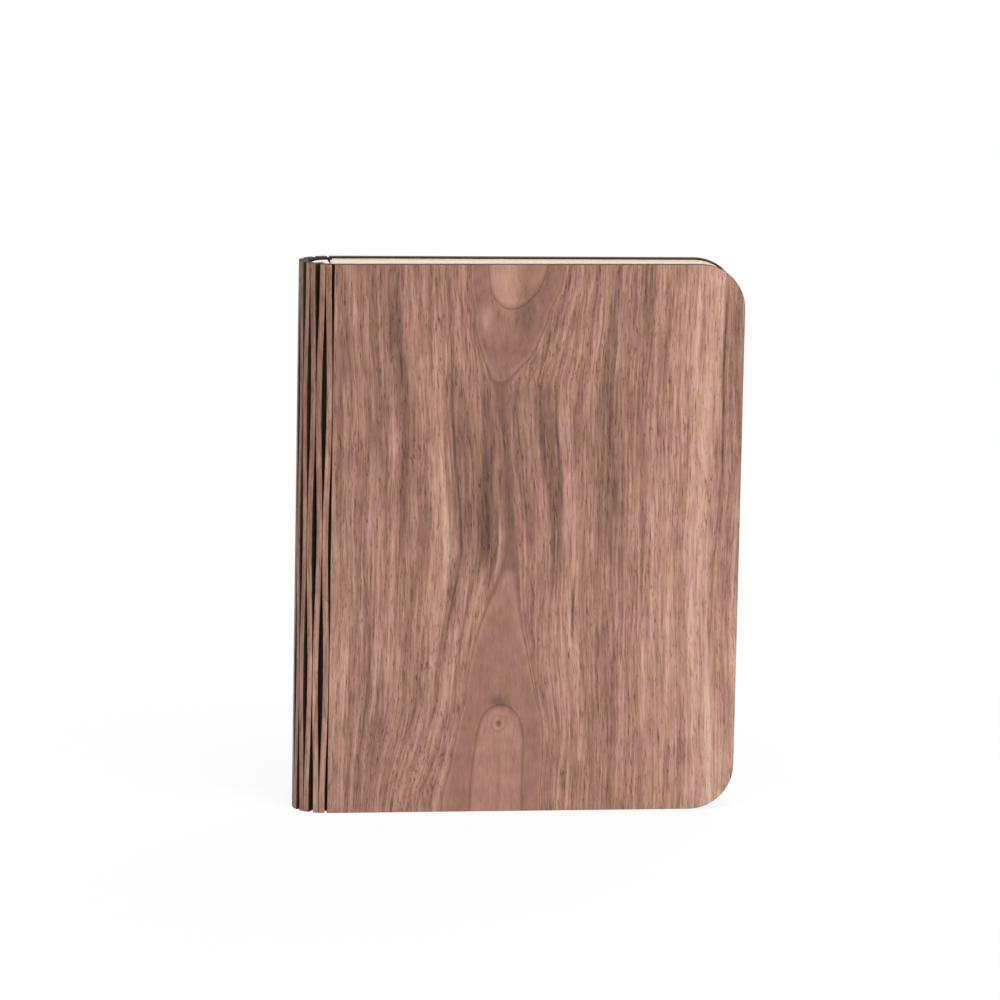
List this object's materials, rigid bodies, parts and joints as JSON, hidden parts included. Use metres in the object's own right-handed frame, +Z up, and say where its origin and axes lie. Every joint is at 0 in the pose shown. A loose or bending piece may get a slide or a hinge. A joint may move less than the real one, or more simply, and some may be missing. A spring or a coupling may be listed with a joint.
{
  "type": "folding book lamp",
  "caption": "Book-shaped lamp of walnut: covers on a slotted wooden spine that bends, a fan of white sheet pleats and a light core inside.",
  "frame": {"origin": "middle of the closed lamp's footprint, on the surface it stands on", "axes": "+Z up along the spine, +X from the spine to the fore-edge, -Y out of the front cover"},
  "size_m": [0.1722, 0.025, 0.215],
  "materials": {
    "walnut": "oiled plain-sawn walnut, fine open pores, laser-darkened cut edges",
    "spine_cloth": "black woven bookbinding cloth",
    "lining": "cream lining sheet",
    "sheet": "white spunbonded sheet, faintly fibrous",
    "core_plastic": "cream moulded plastic",
    "diffuser": "frosted translucent plastic",
    "led_board": "white solder mask",
    "control_board": "green solder mask",
    "socket_steel": "stamped plated steel",
    "magnet_nickel": "nickel plated",
    "battery_pouch": "silver laminated pouch",
    "sensor_black": "black moulded package",
    "lead_red": "red sleeve",
    "lead_black": "black sleeve",
    "pad_foam": "black adhesive foam"
  },
  "bodies": {
    "core": {"core_housing": "core_plastic", "core_top_cap": "core_plastic", "core_bottom_cap": "core_plastic", "core_pad": "pad_foam", "diffuser": "diffuser", "led_board": "led_board", "control_board": "control_board", "usb_socket": "socket_steel", "battery_cell": "battery_pouch", "hall_sensor": "sensor_black", "battery_lead_red": "lead_red", "battery_lead_black": "lead_black", "led_lead": "lead_black"},
    "slat_01": {"spine_slat_01": "walnut", "spine_cloth_01": "spine_cloth", "sheet_pleat_01": "sheet"},
    "slat_02": {"spine_slat_02": "walnut", "spine_cloth_02": "spine_cloth", "sheet_pleat_02": "sheet"},
    "slat_03": {"spine_slat_03": "walnut", "spine_cloth_03": "spine_cloth", "sheet_pleat_03": "sheet"},
    "slat_04": {"spine_slat_04": "walnut", "spine_cloth_04": "spine_cloth", "sheet_pleat_04": "sheet"},
    "slat_05": {"spine_slat_05": "walnut", "spine_cloth_05": "spine_cloth", "sheet_pleat_05": "sheet"},
    "slat_06": {"spine_slat_06": "walnut", "spine_cloth_06": "spine_cloth", "sheet_pleat_06": "sheet"},
    "slat_07": {"spine_slat_07": "walnut", "spine_cloth_07": "spine_cloth", "sheet_pleat_07": "sheet"},
    "slat_08": {"spine_slat_08": "walnut", "spine_cloth_08": "spine_cloth", "sheet_pleat_08": "sheet"},
    "slat_09": {"spine_slat_09": "walnut", "spine_cloth_09": "spine_cloth", "sheet_pleat_09": "sheet"},
    "slat_10": {"spine_slat_10": "walnut", "spine_cloth_10": "spine_cloth", "sheet_pleat_10": "sheet"},
    "slat_11": {"spine_slat_11": "walnut", "spine_cloth_11": "spine_cloth", "sheet_pleat_11": "sheet"},
    "slat_12": {"spine_slat_12": "walnut", "spine_cloth_12": "spine_cloth", "sheet_pleat_12": "sheet"},
    "front_cover": {"front_cover_board": "walnut", "front_cloth_lap": "spine_cloth", "front_lining": "lining", "front_magnet_lower": "magnet_nickel", "front_magnet_upper": "magnet_nickel", "sensor_magnet": "magnet_nickel"},
    "back_cover": {"back_cover_board": "walnut", "back_cloth_lap": "spine_cloth", "back_lining": "lining", "back_magnet_lower": "magnet_nickel", "back_magnet_upper": "magnet_nickel"}
  },
  "joints": [
    {"name": "spine_fold_06_front", "type": "hinge", "parent": "core", "child": "slat_06", "pos_m": [-0.08612, 0, 0], "axis": [0, 0, -1], "range_deg": [0, 15.41]},
    {"name": "spine_fold_05", "type": "hinge", "parent": "slat_06", "child": "slat_05", "pos_m": [-0.08569, -0.00326, 0], "axis": [0, 0, -1], "range_deg": [0, 30.82]},
    {"name": "spine_fold_04", "type": "hinge", "parent": "slat_05", "child": "slat_04", "pos_m": [-0.08442, -0.0063, 0], "axis": [0, 0, -1], "range_deg": [0, 30.82]},
    {"name": "spine_fold_03", "type": "hinge", "parent": "slat_04", "child": "slat_03", "pos_m": [-0.08241, -0.0089, 0], "axis": [0, 0, -1], "range_deg": [0, 30.82]},
    {"name": "spine_fold_02", "type": "hinge", "parent": "slat_03", "child": "slat_02", "pos_m": [-0.07978, -0.01088, 0], "axis": [0, 0, -1], "range_deg": [0, 30.82]},
    {"name": "spine_fold_01", "type": "hinge", "parent": "slat_02", "child": "slat_01", "pos_m": [-0.07673, -0.01211, 0], "axis": [0, 0, -1], "range_deg": [0, 30.82]},
    {"name": "spine_fold_00", "type": "hinge", "parent": "slat_01", "child": "front_cover", "pos_m": [-0.07346, -0.0125, 0], "axis": [0, 0, -1], "range_deg": [0, 15.41]},
    {"name": "spine_fold_06_back", "type": "hinge", "parent": "core", "child": "slat_07", "pos_m": [-0.08612, 0, 0], "axis": [0, 0, 1], "range_deg": [0, 15.41]},
    {"name": "spine_fold_07", "type": "hinge", "parent": "slat_07", "child": "slat_08", "pos_m": [-0.08569, 0.00326, 0], "axis": [0, 0, 1], "range_deg": [0, 30.82]},
    {"name": "spine_fold_08", "type": "hinge", "parent": "slat_08", "child": "slat_09", "pos_m": [-0.08442, 0.0063, 0], "axis": [0, 0, 1], "range_deg": [0, 30.82]},
    {"name": "spine_fold_09", "type": "hinge", "parent": "slat_09", "child": "slat_10", "pos_m": [-0.08241, 0.0089, 0], "axis": [0, 0, 1], "range_deg": [0, 30.82]},
    {"name": "spine_fold_10", "type": "hinge", "parent": "slat_10", "child": "slat_11", "pos_m": [-0.07978, 0.01088, 0], "axis": [0, 0, 1], "range_deg": [0, 30.82]},
    {"name": "spine_fold_11", "type": "hinge", "parent": "slat_11", "child": "slat_12", "pos_m": [-0.07673, 0.01211, 0], "axis": [0, 0, 1], "range_deg": [0, 30.82]},
    {"name": "spine_fold_12", "type": "hinge", "parent": "slat_12", "child": "back_cover", "pos_m": [-0.07346, 0.0125, 0], "axis": [0, 0, 1], "range_deg": [0, 15.41]}
  ],
  "couplings": [
    {"joint": "spine_fold_06_front", "follows": "spine_fold_05", "ratio": 0.5},
    {"joint": "spine_fold_04", "follows": "spine_fold_05", "ratio": 1},
    {"joint": "spine_fold_03", "follows": "spine_fold_05", "ratio": 1},
    {"joint": "spine_fold_02", "follows": "spine_fold_05", "ratio": 1},
    {"joint": "spine_fold_01", "follows": "spine_fold_05", "ratio": 1},
    {"joint": "spine_fold_00", "follows": "spine_fold_05", "ratio": 0.5},
    {"joint": "spine_fold_06_back", "follows": "spine_fold_05", "ratio": 0.5},
    {"joint": "spine_fold_07", "follows": "spine_fold_05", "ratio": 1},
    {"joint": "spine_fold_08", "follows": "spine_fold_05", "ratio": 1},
    {"joint": "spine_fold_09", "follows": "spine_fold_05", "ratio": 1},
    {"joint": "spine_fold_10", "follows": "spine_fold_05", "ratio": 1},
    {"joint": "spine_fold_11", "follows": "spine_fold_05", "ratio": 1},
    {"joint": "spine_fold_12", "follows": "spine_fold_05", "ratio": 0.5}
  ]
}
